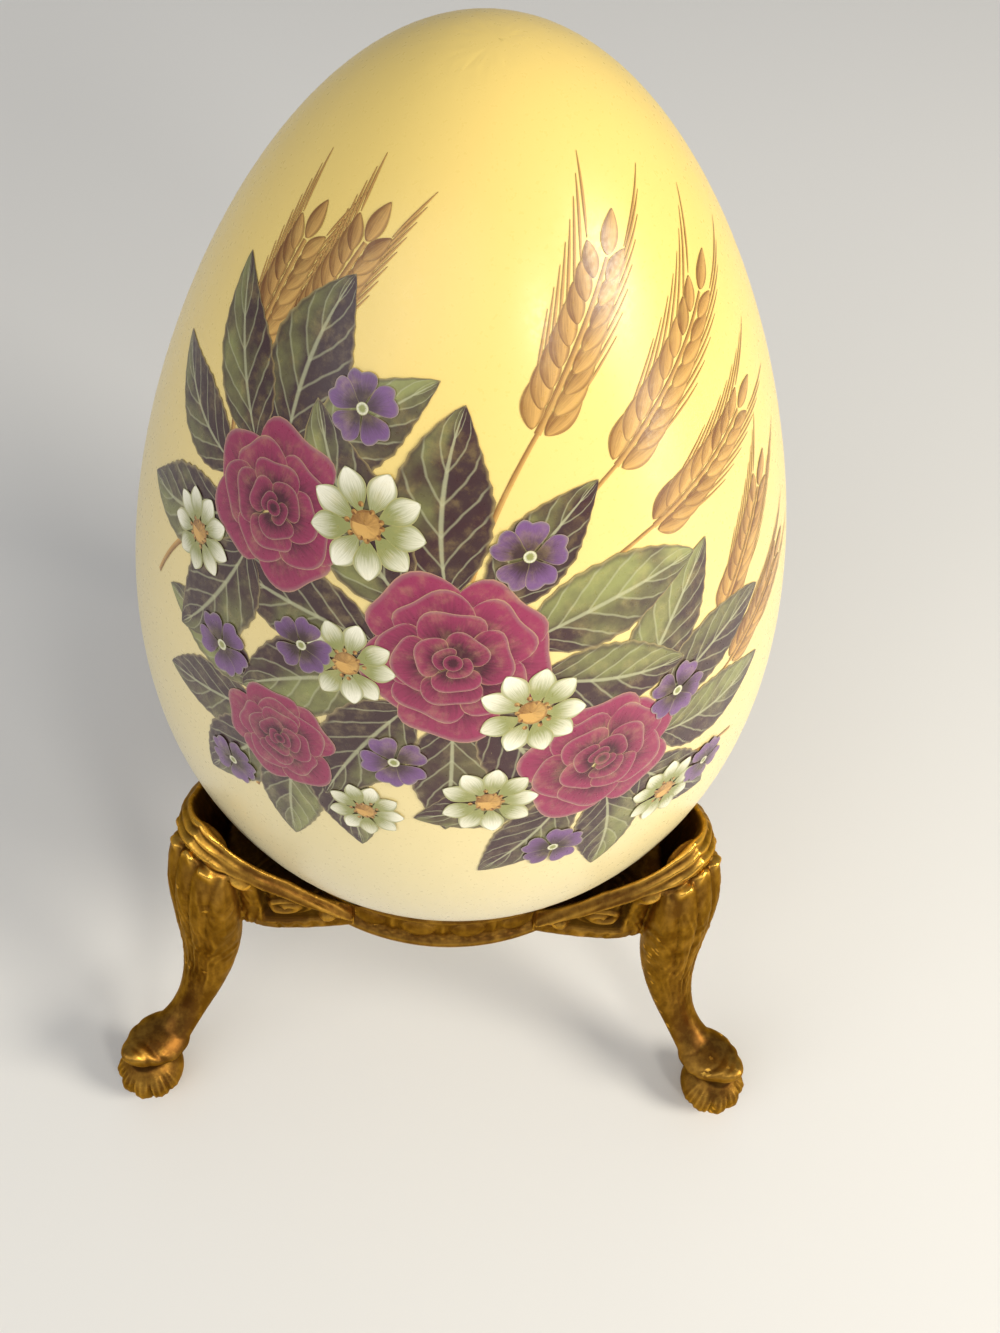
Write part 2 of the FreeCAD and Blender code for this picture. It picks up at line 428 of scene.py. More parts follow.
def gilt_metal(name):
    """Antique gilding: burnished on the ridges, bronze in the hollows, dark lacquer in the deepest, with
    painted highlights and painted shade brought in by the tone attribute.
    """
    settings = bpy.context.scene.stand_settings
    shader = Shader(name)
    place = shader.place()
    relief = shader.attribute("relief")
    worn = shader.node("ShaderNodeNewGeometry").outputs["Pointiness"]
    mottle = shader.noise(place, MOTTLE, 5.0, 0.65)
    split = shader.node("ShaderNodeSeparateXYZ", Vector=place)
    flattened = shader.times(split.outputs["Z"], 0.3)
    drawn_out = shader.combine(split.outputs["X"], split.outputs["Y"], flattened)
    strokes = shader.noise(drawn_out, STROKES, 4.0, 0.6)
    bright = shader.times(shader.spread(worn, 0.50, 0.58), 0.6)
    # The tone lightens burnished ridges, and the painted highlights at the knees, leaf tips and pad tips
    bright = shader.plus(bright, shader.times(relief, 0.30))
    bright = shader.plus(bright, shader.times(shader.minus(mottle, 0.52), 0.9))
    bright = shader.plus(bright, shader.times(shader.minus(strokes, 0.5), 0.7), clamp=True)
    body = shader.mix(bright, settings.bronze, settings.gilt)
    hollow = shader.times(shader.spread(worn, 0.482, 0.42), shader.spread(mottle, 0.25, 0.6, 0.55, 1.0))
    # Low tone turns to patina: carved hollows, and the painted shade under the pads
    hollow = shader.math("MAXIMUM", hollow, shader.spread(relief, 0.18, 0.0, 0.0, 0.75))
    body = shader.mix(hollow, body, settings.patina)
    rough = shader.plus(shader.spread(mottle, 0.3, 0.7, 0.38, 0.52), shader.times(hollow, 0.2))
    rough = shader.minus(rough, shader.times(bright, 0.20))
    normal = shader.bump(strokes, 0.30, 0.00010)
    normal = shader.bump(mottle, 0.30, 0.00020, normal)
    shader.give(Base_Color=body, Roughness=rough, Normal=normal)
    shader.give(Metallic=0.97, Specular_IOR_Level=0.3, Specular_Tint=(0.92, 0.69, 0.38))
    return shader.material


# The fired print. A place is an azimuth in degrees, the arc up the shell in millimetres, and a
# heading in degrees, from rightward to upward. Sizes are in millimetres, and layers are counted.

SEED = 7
STEM_LAYER = 0
WHEAT_LAYER = 1
LOW_LEAF_LAYER = 2
LEAF_LAYER = 6
ROSE_LAYER = 14
DAISY_LAYER = 28
VIOLET_LAYER = 32

# Points along and across each kind of painted patch
BLADE_GRID = (25, 9)
PETAL_GRID = (13, 17)
DISC_GRID = (5, 17)
STEM_GRID = (21, 3)

# A leaf's teeth as a share of its half width, the least half width of a blade, and the least radius
# of the egg by which a turn round it is worked out
TOOTH_SHARE = 0.10
LEAST_HALF_WIDTH = 0.02
LEAST_GIRTH = 2


def grid(size):
    """Shares of the way along a patch, 0 to 1, and across it, -1 to 1."""
    rows, columns = size
    return np.meshgrid(np.linspace(0, 1, rows), np.linspace(-1, 1, columns), indexing="ij")


class Brush:
    """Gathers painted patches that lie on the glaze."""

    def __init__(self):
        settings = bpy.context.scene.egg_settings
        self.points = []
        self.faces = []
        self.values = {"along": [], "across": [], "tint": [], "edge": []}
        self.base = settings.print_lift
        self.step = settings.layer_lift

    def patch(self, place, forward, left, along, across, edge, layer, tint):
        """Lays a grid of points, given by how far forward and to the left of the place they lie."""
        azimuth, arc, heading = place
        turn = math.radians(heading)
        right = forward * math.cos(turn) - left * math.sin(turn)
        upward = forward * math.sin(turn) + left * math.cos(turn)
        arcs = (arc + upward) * MM
        girth = np.maximum(np.interp(arcs, profile_arc, profile_radius), LEAST_GIRTH * MM)
        azimuths = math.radians(azimuth) + right * MM / girth
        spots = on_egg(azimuths, arcs, self.base + self.step * layer)
        first = len(self.points)
        rows, columns = forward.shape
        self.points.extend(spots.reshape(-1, 3))
        for row in range(rows - 1):
            for column in range(columns - 1):
                corner = first + row * columns + column
                self.faces.append((corner, corner + columns, corner + columns + 1, corner + 1))
        for name, value in (("along", along), ("across", across), ("edge", edge), ("tint", tint)):
            self.values[name].extend(np.broadcast_to(value, forward.shape).ravel())

    def blade(self, place, long, wide, layer, tint, bend=0.0, teeth=0, blunt=0.8):
        """A leaf, grain or narrow petal that grows from the place, along its heading."""
        along, across = grid(BLADE_GRID)
        heading = math.radians(bend) * (along - 0.3)
        half = wide / 2 * np.sin(math.pi * along**blunt) ** 0.85
        half = half * (1 + TOOTH_SHARE * ((along * teeth) % 1)) + LEAST_HALF_WIDTH
        spine_forward = long * np.cumsum(np.cos(heading[:, 0])) / len(heading)
        spine_left = long * np.cumsum(np.sin(heading[:, 0])) / len(heading)
        forward = spine_forward[:, None] - np.sin(heading) * half * across
        left = spine_left[:, None] + np.cos(heading) * half * across
        edge = np.minimum(1 - np.abs(across), np.minimum(along, 1 - along) * 6)
        self.patch(place, forward, left, along, across, edge, layer, tint)

    def petal(self, place, inner, outer, spread, layer, tint, ruffle=0.0, phase=0.0, notch=0.0):
        """A broad petal round the place's middle, from one distance to another, over an angle."""
        along, across = grid(PETAL_GRID)
        lip = outer * (1 - 0.22 * across**4 - notch * (1 - np.minimum(np.abs(across) * 3, 1)))
        lip = lip * (1 + ruffle * np.sin(5 * across + phase))
        reach = inner + (lip - inner) * along
        angle = math.radians(spread / 2) * across * (0.72 + 0.28 * np.sin(math.pi * along * 0.75))
        edge = np.minimum((1 - np.abs(across)) * 2, (1 - along) * 3)
        forward = reach * np.cos(angle)
        left = reach * np.sin(angle)
        self.patch(place, forward, left, along, across, edge, layer, tint)

    def disc(self, place, radius, layer, tint):
        """A round patch about the place's middle."""
        along, across = grid(DISC_GRID)
        forward = radius * along * np.cos(math.pi * across)
        left = radius * along * np.sin(math.pi * across)
        self.patch(place, forward, left, along, across, (1 - along) * 2, layer, tint)

    def finish(self, name, material):
        """Makes one piece of all the patches, which rides on the egg."""
        piece = new_mesh(name, self.points, self.faces, material)
        for key, values in self.values.items():
            point_attribute(piece.data, key, values)
        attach(piece, "egg")
        return piece


def moved(place, forward, left=0.0, turn=0.0):
    """A place shifted over the glaze, forward along its heading and to the left, and turned."""
    azimuth, arc, heading = place
    angle = math.radians(heading)
    right = forward * math.cos(angle) - left * math.sin(angle)
    upward = forward * math.sin(angle) + left * math.cos(angle)
    girth = np.interp((arc + upward) * MM, profile_arc, profile_radius) / MM
    return azimuth + math.degrees(right / max(girth, LEAST_GIRTH)), arc + upward, heading + turn


# A rose's rings from the outer one in: petals, their reach and root as shares of its radius, and the
# angle that each covers; then its rises in layers, by ring, by petal and to the middle disc
ROSE_RINGS = (
    (5, 1.00, 0.34, 88),
    (5, 0.80, 0.26, 86),
    (4, 0.58, 0.16, 100),
    (3, 0.38, 0.08, 120),
    (2, 0.20, 0.02, 150),
)
RING_RISE = 2
PETAL_RISE = 0.35
MIDDLE_RISE = 11
ROSE_MIDDLE_SHARE = 0.05
ROSE_RUFFLE = 0.05


def paint_rose(brush, place, size, layer, chance):
    """Rings of petals, each ring over the one outside it and turned against it."""
    azimuth, arc = place[:2]
    for ring, (count, outer, inner, spread) in enumerate(ROSE_RINGS):
        start = chance.uniform(0, 360)
        for number in range(count):
            turn = start + number * 360 / count + chance.uniform(-8, 8)
            reach = size / 2 * outer * chance.uniform(0.93, 1.05)
            height = layer + ring * RING_RISE + number * PETAL_RISE
            tint = 0.75 - 0.15 * ring + chance.uniform(-0.12, 0.25)
            phase = chance.uniform(0, 6)
            root = size / 2 * inner
            here = (azimuth, arc, turn)
            brush.petal(here, root, reach, spread, height, tint, ROSE_RUFFLE, phase)
    brush.disc(place, size * ROSE_MIDDLE_SHARE, layer + MIDDLE_RISE, 0.2)


DAISY_PETALS = 9
DAISY_ROOT_SHARE = 0.08
DAISY_PETAL_SHARE = 0.43
DAISY_PETAL_WIDTH_SHARE = 0.25
DAISY_HEART_SHARE = 0.14
DAISY_DOTS = 10
DAISY_DOT_SHARE = 0.025
DAISY_DOT_REACH_SHARES = (0.12, 0.19)


def paint_daisy(petals, hearts, place, size, layer, chance):
    """A ring of narrow petals round a heart, with dots about the heart's edge."""
    azimuth, arc = place[:2]
    for number in range(DAISY_PETALS):
        turn = number * 360 / DAISY_PETALS + chance.uniform(-5, 5)
        root = moved((azimuth, arc, turn), size * DAISY_ROOT_SHARE)
        long = size * DAISY_PETAL_SHARE
        wide = size * DAISY_PETAL_WIDTH_SHARE
        height = layer + 0.3 * (number % 2)
        petals.blade(root, long, wide, height, chance.random(), blunt=1.35)
    hearts.disc(place, size * DAISY_HEART_SHARE, layer + 1, 0.2)
    for number in range(DAISY_DOTS):
        turn = number * 360 / DAISY_DOTS + chance.uniform(-9, 9)
        dot = moved((azimuth, arc, turn), size * chance.uniform(*DAISY_DOT_REACH_SHARES))
        hearts.disc(dot, size * DAISY_DOT_SHARE, layer + 1.6, 0.9)


VIOLET_HEADINGS = (90, 162, 18, 234, 306)
VIOLET_ROOT_SHARE = 0.04
VIOLET_REACH_SHARE = 0.52
VIOLET_PETAL_ANGLE = 72
VIOLET_RUFFLE = 0.03
VIOLET_NOTCH = 0.10
VIOLET_HEART_SHARE = 0.09


def paint_violet(petals, hearts, place, size, layer, chance):
    """Five notched petals round a small heart."""
    azimuth, arc, heading = place
    for number, turn in enumerate(VIOLET_HEADINGS):
        here = (azimuth, arc, heading + turn + chance.uniform(-8, 8))
        tint = chance.uniform(0.3, 1.0)
        petals.petal(
            here, size * VIOLET_ROOT_SHARE, size * VIOLET_REACH_SHARE, VIOLET_PETAL_ANGLE,
            layer + 0.3 * number, tint, ruffle=VIOLET_RUFFLE, notch=VIOLET_NOTCH,
        )
    hearts.disc(place, size * VIOLET_HEART_SHARE, layer + 2, 0.1)


STEM_TAPER_SHARE = 0.35


def paint_stem(brush, place, long, wide, bend, layer):
    """A thin stem that tapers a little; returns the place at its end, with its heading there."""
    along, across = grid(STEM_GRID)
    heading = math.radians(bend) * along[:, 0]
    steps = len(heading) - 1
    spine_forward = long * (np.cumsum(np.cos(heading)) - np.cos(heading)) / steps
    spine_left = long * (np.cumsum(np.sin(heading)) - np.sin(heading)) / steps
    half = wide / 2 * (1 - STEM_TAPER_SHARE * along)
    forward = spine_forward[:, None] - np.sin(heading)[:, None] * half * across
    left = spine_left[:, None] + np.cos(heading)[:, None] * half * across
    edge = 1 - 0.6 * np.abs(across)
    brush.patch(place, forward, left, along, across, edge, layer, 0.5)
    return moved(place, spine_forward[-1], spine_left[-1], bend)


EAR_STEM_WIDTH = 0.5
GRAIN_PAIRS = 8
GRAIN_LENGTH = 3.6
GRAIN_WIDTH = 1.7
GRAIN_TAPER_SHARE = 0.35
GRAIN_OUT = 0.45
GRAIN_TURN = 24
AWN_START = 2.4
AWN_TURN = 8
AWN_SHARE = 0.24
AWN_WIDTH = 0.16
TIP_GRAIN_LENGTH = 3.0
TIP_GRAIN_WIDTH = 1.3


def paint_wheat(brush, place, long, bend, layer, chance):
    """An ear on a stem: grains in pairs, each with a long awn, and one grain at the tip."""
    ear = paint_stem(brush, place, long / 2, EAR_STEM_WIDTH, bend, layer)
    paint_stem(brush, ear, long / 2, EAR_STEM_WIDTH, 0, layer)
    for number in range(GRAIN_PAIRS):
        share = number / GRAIN_PAIRS
        spot = moved(ear, long / 2 * share)
        shrink = 1 - GRAIN_TAPER_SHARE * share
        height = layer + 0.4 + 0.25 * number
        for side in (-1, 1):
            grain = moved(spot, 0.0, side * GRAIN_OUT, side * GRAIN_TURN)
            awn = moved(grain, AWN_START, turn=-side * AWN_TURN)
            tint = chance.random()
            brush.blade(awn, long * AWN_SHARE, AWN_WIDTH, layer + 0.2, 0.4)
            brush.blade(grain, GRAIN_LENGTH * shrink, GRAIN_WIDTH * shrink, height, tint, blunt=0.9)
    brush.blade(moved(ear, long / 2), TIP_GRAIN_LENGTH, TIP_GRAIN_WIDTH, layer + 3, 0.4)


LEAF_WIDTH_SHARE = 0.46
LEAF_TEETH = 11
LEAF_BEND = 35
LEAF_RISE = 0.8


def paint_leaves(brush, middle, leaves, layer, chance):
    """Toothed leaves round a middle, each one over the last."""
    azimuth, arc = middle
    for number, (heading, root, long, tint) in enumerate(leaves):
        start = moved((azimuth, arc, heading), root)
        bend = chance.uniform(-LEAF_BEND, LEAF_BEND)
        height = layer + LEAF_RISE * number
        brush.blade(start, long, long * LEAF_WIDTH_SHARE, height, tint, bend, teeth=LEAF_TEETH)


# The garland's ears and stems: place, length and bend
EARS = (
    ((5, 86, 60), 25, -22),
    ((11, 84, 44), 22, -26),
    ((0, 88, 78), 23, -16),
    ((31, 72, 22), 20, 26),
    ((32, 69, 4), 19, 20),
    ((-47, 88, 118), 19, -28),
    ((-42, 92, 100), 17, -20),
)
STEMS = (
    ((-2, 80, 150), 30, 20),
    ((-2, 80, -30), 30, -18),
    ((20, 70, -40), 20, 25),
    ((-36, 88, 210), 20, 40),
    ((-14, 74, 215), 18, 40),
    ((-6, 76, 250), 18, -45),
    ((-30, 76, 235), 18, 30),
)
STEM_WIDTH = 0.6

# Leaves round four middles: layer, azimuth and arc, then each leaf's heading, the distance of its
# root, its length and its depth of colour
LEAF_SPRAYS = (
    (LOW_LEAF_LAYER, (-26, 71), (
        (200, 3, 13, 0.7), (235, 3, 14, 0.9), (268, 3, 13, 0.5), (300, 3, 12, 0.8),
        (165, 4, 12, 0.45),
    )),
    (LEAF_LAYER, (-2, 81), (
        (175, 5, 15, 0.85), (205, 5, 15, 0.5), (238, 5, 15, 0.95), (272, 5, 14, 0.45),
        (302, 5, 15, 0.75), (18, 5, 15, 0.3), (345, 6, 14, 0.6), (96, 5, 15, 0.85),
        (128, 5, 16, 0.55), (58, 5, 12, 0.9),
    )),
    (LEAF_LAYER, (-37, 89), (
        (92, 4, 14, 0.95), (128, 4, 13, 0.6), (170, 4, 12, 0.85), (215, 4, 14, 0.5),
        (250, 4, 15, 0.9), (60, 4, 12, 0.4),
    )),
    (LEAF_LAYER, (23, 70), (
        (60, 5, 14, 0.5), (25, 5, 14, 0.8), (350, 5, 14, 0.5), (310, 5, 14, 0.95),
        (275, 5, 13, 0.6), (238, 5, 13, 0.85), (205, 5, 12, 0.5),
    )),
)

# Flowers: azimuth, arc and width
ROSES = ((-2, 81, 15.0), (-37, 89, 12.5), (23, 69, 14.0), (-29, 68, 10.5))
DAISIES = (
    (-19, 91, 8.5), (-19, 79, 7.5), (11, 76, 8.5), (5, 66, 8.0), (36, 60, 7.5), (-52, 82, 7.0),
    (-14, 63, 6.5),
)
VIOLETS = (
    (-10, 70, 5.5), (-27, 79, 5.0), (10, 90, 5.5), (37, 73, 5.5), (16, 58, 5.5), (-24, 99, 5.0),
    (45, 60, 5.0), (-42, 74, 5.5), (-38, 61, 5.0),
)

# Sprigs: where each starts, and the share of its stem at which each leaf grows, with the leaf's turn
SPRIG_AZIMUTHS = (122, 180, 238)
SPRIG_ARC = 70
SPRIG_HEADING = 60
SPRIG_LENGTH = 15
SPRIG_BEND = 28
SPRIG_FLOWER_LAYER = 8
SPRIG_DAISY_WIDTH = 6.0
SPRIG_END_VIOLET_WIDTH = 4.6
SPRIG_SIDE_VIOLET_WIDTH = 4.2
SPRIG_LEAF_LENGTH = 7.5
SPRIG_LEAF_WIDTH = 3.2
SPRIG_LEAF_TEETH = 7
SPRIG_LEAF_TURNS = ((0.25, 48), (0.3, -50), (0.6, 40), (0.65, -42), (0.95, 12))


# The stand's carving. Sizes are in millimetres, because the relief is worked out on the casting. A
# name that ends in FADE holds where a form starts to show and where it is whole, and one that ends in
# AT_KNEE holds what the knee adds.

FOOT = 48.0
SOLE_FADE = (0.9, 1.8)
OUTSIDE_FADE = (-0.75, -0.35)

# The rim: its corners, its height by place from the middle of a side to the knee, and its slope
# outward and down
RIM_HALF = 25.8
RIM_CORNER = 8.0
CORNER_CENTRE = RIM_HALF - RIM_CORNER
RIM_PLACES = (9.6, 11.65, 13.7, 15.75, 17.8, 19.9, 22.0, 24.1)
RIM_HEIGHTS = (33.4, 36.2, 38.9, 41.3, 43.4, 45.5, 47.3, 48.7)
RIM_OUTWARD = 0.55
RIM_DOWNWARD = 0.83
RIM_WIDTH = 2.35
RIM_WIDTH_AT_KNEE = 1.05
KNEE_FADE = (19, 23.5)

# The ribs draw together on their way down to the ankle
ANKLE_SHARE = 0.42
RIB_FADE = (16, 45)


def rim_distance(x, y):
    """How far a place lies outside the rim's inner edge, seen from above."""
    across = np.abs(x) - CORNER_CENTRE
    along = np.abs(y) - CORNER_CENTRE
    corner = np.hypot(np.maximum(across, 0), np.maximum(along, 0))
    return corner + np.minimum(np.maximum(across, along), 0) - RIM_CORNER


def rim_place(x, y):
    """How far along the rim a place lies, from the middle of a side to the knee."""
    near = np.minimum(np.abs(x), np.abs(y))
    far = np.maximum(np.abs(x), np.abs(y))
    turn = np.arctan2(np.maximum(near - CORNER_CENTRE, 0), np.maximum(far - CORNER_CENTRE, 0.1))
    return np.where(near < CORNER_CENTRE, near, CORNER_CENTRE + RIM_CORNER * turn)


def turned(x, y, azimuth):
    """Places measured out along an azimuth and across it."""
    turn = math.radians(azimuth)
    out = x * math.cos(turn) + y * math.sin(turn)
    across = -x * math.sin(turn) + y * math.cos(turn)
    return out, across


class LegSurface:
    """Points on a leg's casting, and the measures that its carving follows."""

    def __init__(self, points, normals, azimuth):
        x, y, z = points.T
        self.z = z
        self.azimuth = azimuth
        self.radial, self.across = turned(x, y, azimuth)
        self.facing = turned(normals[:, 0], normals[:, 1], azimuth)[0]
        self.side = np.abs(self.across)
        self.outside = rim_distance(x, y)
        self.place = rim_place(x, y)
        self.knee = smoothstep(*KNEE_FADE, self.place)
        below_crest = np.interp(self.place, RIM_PLACES, RIM_HEIGHTS) - z
        self.slope = RIM_OUTWARD * self.outside + RIM_DOWNWARD * below_crest
        self.rim_width = RIM_WIDTH + RIM_WIDTH_AT_KNEE * self.knee
        self.below_rim = self.slope - self.rim_width
        self.rib = self.across / (ANKLE_SHARE + (1 - ANKLE_SHARE) * smoothstep(*RIB_FADE, z))


RIM_EDGE_FADE = (-0.5, -0.1)
REED_PITCH = 1.10
REED_START = 0.30
REED_HEIGHT = 0.16
REED_HEIGHT_AT_KNEE = 0.24
# Burnish of the reeds as wear, and a painted highlight added on the knee's reeds
REED_BURNISH = 0.15
REED_HIGHLIGHT_AT_KNEE = 0.75
SWELL_AT_KNEE = 0.16
GROOVE_BELOW_RIM = 0.35
GROOVE_WIDTH = 0.3
GROOVE_FADE = (0.0, 0.4)
GROOVE_DEPTH = 0.28
GROOVE_DEPTH_AT_KNEE = 0.2


def carve_rim(leg):
    """Reeds that follow the rim's inner edge down its slope, more of them at the knee. Their wear is
    shifted by the leg's azimuth, so that it differs from leg to leg."""
    on_rim = smoothstep(leg.rim_width + 0.1, leg.rim_width - 0.2, leg.slope)
    on_rim = on_rim * smoothstep(*RIM_EDGE_FADE, leg.outside)
    reed = 0.5 + 0.5 * np.cos(2 * math.pi * (leg.slope - REED_START) / REED_PITCH)
    wear = 0.75 + 0.25 * np.sin(1.9 * leg.place + 2.3 * np.sin(0.7 * leg.place + leg.azimuth))
    height = on_rim * (REED_HEIGHT + REED_HEIGHT_AT_KNEE * leg.knee) * wear * (reed - 0.4)
    height += on_rim * SWELL_AT_KNEE * leg.knee * leg.slope
    groove = ridge(leg.below_rim, GROOVE_BELOW_RIM, GROOVE_WIDTH) * smoothstep(*GROOVE_FADE, leg.outside)
    height -= (GROOVE_DEPTH + GROOVE_DEPTH_AT_KNEE * leg.knee) * groove
    # Returns the reeds' burnish as wear, with a painted highlight on the knee's reeds
    return height, on_rim * (REED_BURNISH + REED_HIGHLIGHT_AT_KNEE * leg.knee) * reed


RIB_PITCH = 2.3
RIB_HEIGHT = 0.32
RIB_SINK = 0.16
LEAF_EDGE = 0.10
LEAF_SCALLOP = 0.6
LEAF_HALF_WIDTH = 1.9
LEAF_HALF_WIDTH_AT_KNEE = 4.4
LEAF_WIDTH_FADE = (22, 42)
LEAF_END_FADE = (12.5, 18)
LEAF_DEPTH_FADE = (8, 40)
LEAF_FACE_FADE = (-0.1, 0.35)
FEATHER_HEIGHT = 0.03
CURL_HEIGHT = 0.40
CURL_WIDTH = 0.65
CURL_TIP_FADE = (0.1, 0.9)
CURL_FACE_FADE = (0.0, 0.4)
CURL_SIDE_FADE = (6.6, 5.8)
# Lighter gilt on the curled tips: burnish on the high points, and a painted highlight on their edges
CURL_BURNISH_AND_HIGHLIGHT = 0.7


def carve_knee(leg):
    """An acanthus leaf whose ribs start from curled tips and run down the shank together."""
    z = leg.z
    tips = np.abs(np.cos(math.pi * leg.rib / RIB_PITCH))
    leaf_edge = LEAF_EDGE + LEAF_SCALLOP * (1 - tips)
    half_width = LEAF_HALF_WIDTH + LEAF_HALF_WIDTH_AT_KNEE * smoothstep(*LEAF_WIDTH_FADE, z)
    on_leaf = smoothstep(leaf_edge - 0.15, leaf_edge + 0.35, leg.below_rim)
    on_leaf = on_leaf * smoothstep(*LEAF_FACE_FADE, leg.facing) * smoothstep(*LEAF_END_FADE, z)
    on_leaf = on_leaf * smoothstep(half_width + 0.9, half_width, leg.side)
    feather = np.sin((z + 1.3 * leg.side) * 2.4 + 1.5 * np.sin(0.5 * z)) * (1 - tips)
    height = RIB_HEIGHT * tips**0.8 - RIB_SINK + FEATHER_HEIGHT * feather
    height = on_leaf * smoothstep(*LEAF_DEPTH_FADE, z) * height
    curl = ridge(leg.below_rim, leaf_edge + CURL_WIDTH, CURL_WIDTH)
    curl = curl * smoothstep(*CURL_FACE_FADE, leg.facing) * smoothstep(*CURL_SIDE_FADE, leg.side)
    height += CURL_HEIGHT * curl * smoothstep(*CURL_TIP_FADE, tips)
    # The curled tips' burnish, partly a painted highlight
    return height, CURL_BURNISH_AND_HIGHLIGHT * curl * tips


# The arms' lowest height, and the place along the rim that counts as the knee's own
ARM_FOOT = 28
KNEE_PLACE = 24
KNEE_SIDE_FADE = (19.3, 20.5)
SHANK_TOP_FADE = (44, 38)
SHANK_END_FADE = (9.5, 12)
SHANK_DEPTH_FADE = (10, 24)
LINE_PITCH = 0.95
SECOND_LINE_PITCH = 1.43
LINE_HEIGHT = 0.042
STROKE_PITCH = 1.35
STROKE_HEIGHT = 0.008


def carve_shank(leg):
    """Fine engraved lines that sway as they run down, crossed by short strokes."""
    z = leg.z
    across = leg.across
    on_shank = smoothstep(*KNEE_SIDE_FADE, np.where(z > ARM_FOOT, leg.place, KNEE_PLACE))
    on_shank = on_shank * smoothstep(*SHANK_TOP_FADE, z) * smoothstep(*SHANK_END_FADE, z)
    on_shank = on_shank * smoothstep(*SHANK_DEPTH_FADE, z)
    sway = 0.55 * np.sin(0.33 * z + 0.9) + 0.35 * np.sin(0.71 * z + 1.3 * across)
    lines = np.cos(2 * math.pi * (leg.rib + sway) / LINE_PITCH)
    lines += 0.6 * np.cos(2 * math.pi * (leg.rib - 1.7 * sway) / SECOND_LINE_PITCH + 0.8)
    slant = 0.8 * z + 1.9 * leg.side + 0.8 * np.sin(1.7 * across)
    strokes = np.cos(2 * math.pi * slant / STROKE_PITCH)
    strokes = strokes * smoothstep(0.0, 0.6, np.sin(0.9 * z + 2.1 * np.sin(1.1 * across)))
    return on_shank * (LINE_HEIGHT * lines + STROKE_HEIGHT * strokes), 0


ARM_FADE = (19.3, 18.8)
ARM_OUTER_FADE = (-1.9, -0.9)
ARM_TIP = 9.0
ARM_SIDE = 6
PANEL_DEPTH = 0.38
PANEL_BASE_FADE = (31.0, 31.8)
PANEL_RIM_FADE = (0.3, 0.9)
PANEL_TIP_FADE = (12.6, 13.4)
SCROLL_PLACE = 16.4
SCROLL_HEIGHT = 34.8
SCROLL_FADE = (2.9, 2.1)
SCROLL_PITCH = 1.88
SCROLL_RELIEF = 0.42
NOTCH_PLACE = 18.5
NOTCH_WIDTH = 0.45
NOTCH_DEPTH = 0.55
NOTCH_BASE_FADE = (31.6, 32.6)
NOTCH_RIM_FADE = (0.2, 0.8)
BEAD_PLACE = 12.3
BEAD_HEIGHT = 32.6
BEAD_RADIUS = 0.95
BEAD_RELIEF = 0.55
BAND_TOP_FADE = (31.3, 30.7)
BAND_KNEE_FADE = (19.6, 18.8)
BAND_MIDDLE = 30.0
BAND_HEIGHT = 0.16
BAND_SINK = 0.05
BAND_GROOVE_HEIGHT = 31.2
BAND_GROOVE_DEPTH = 0.25


def carve_arms(leg):
    """A sunk panel with a scroll over a plain band, a notch beside the knee, and a bead near the tip."""
    z = leg.z
    place = leg.place
    outer = smoothstep(*ARM_OUTER_FADE, leg.outside)
    on_arm = smoothstep(*ARM_FADE, place) * outer * (place > ARM_TIP)
    panel = smoothstep(*PANEL_BASE_FADE, z) * smoothstep(*PANEL_RIM_FADE, leg.below_rim)
    height = -on_arm * panel * smoothstep(*PANEL_TIP_FADE, place) * PANEL_DEPTH
    reach = np.hypot(place - SCROLL_PLACE, 1.2 * (z - SCROLL_HEIGHT))
    swirl = np.arctan2(z - SCROLL_HEIGHT, place - SCROLL_PLACE)
    coil = 0.5 + 0.5 * np.cos(2 * math.pi * (reach - 0.3 * swirl) / SCROLL_PITCH)
    height += on_arm * smoothstep(*SCROLL_FADE, reach) * SCROLL_RELIEF * coil
    notch = ridge(place, NOTCH_PLACE, NOTCH_WIDTH) * smoothstep(*NOTCH_BASE_FADE, z)
    height -= NOTCH_DEPTH * notch * smoothstep(*NOTCH_RIM_FADE, leg.below_rim) * outer
    bead = np.hypot(place - BEAD_PLACE, z - BEAD_HEIGHT) / BEAD_RADIUS
    height += BEAD_RELIEF * np.sqrt(np.maximum(1 - bead**2, 0)) * (leg.side > ARM_SIDE)
    band = smoothstep(*BAND_TOP_FADE, z) * smoothstep(*BAND_KNEE_FADE, place) * (leg.side > ARM_SIDE)
    height += band * (BAND_HEIGHT * np.cos(place * 3.4) * ridge(z, BAND_MIDDLE, 0.7) - BAND_SINK)
    height -= BAND_GROOVE_DEPTH * ridge(z, BAND_GROOVE_HEIGHT, 0.25) * on_arm
    return height, 0


# The paw: heights, reach from the stand's axis, and angles in degrees round the ball
TOE_SPAN = 34.0
TOE_HEIGHT = 0.26
TOE_SINK = 0.17
TOE_LINE_SPAN = 11.0
TOE_LINE_HEIGHT = 0.05
PAW_BACK = FOOT - 6
PAW_TOP_FADE = (6.6, 5.4)
PAW_SIDE_FADE = (115, 90)
UNDER_PAD_HEIGHT = 8.0
UNDER_PAD_DEPTH = 0.30
UNDER_PAD_FADE = (FOOT - 5, FOOT - 3)
PAD_BASE_FADE = (8.4, 9.4)
PAD_TOP_FADE = (14.5, 13.0)
PAD_BACK_FADE = (FOOT - 4.5, FOOT - 3)
FOLD_DEPTH = 0.13
INSTEP_DEPTH = 0.35
INSTEP_FADE = (10.4, 12.0)


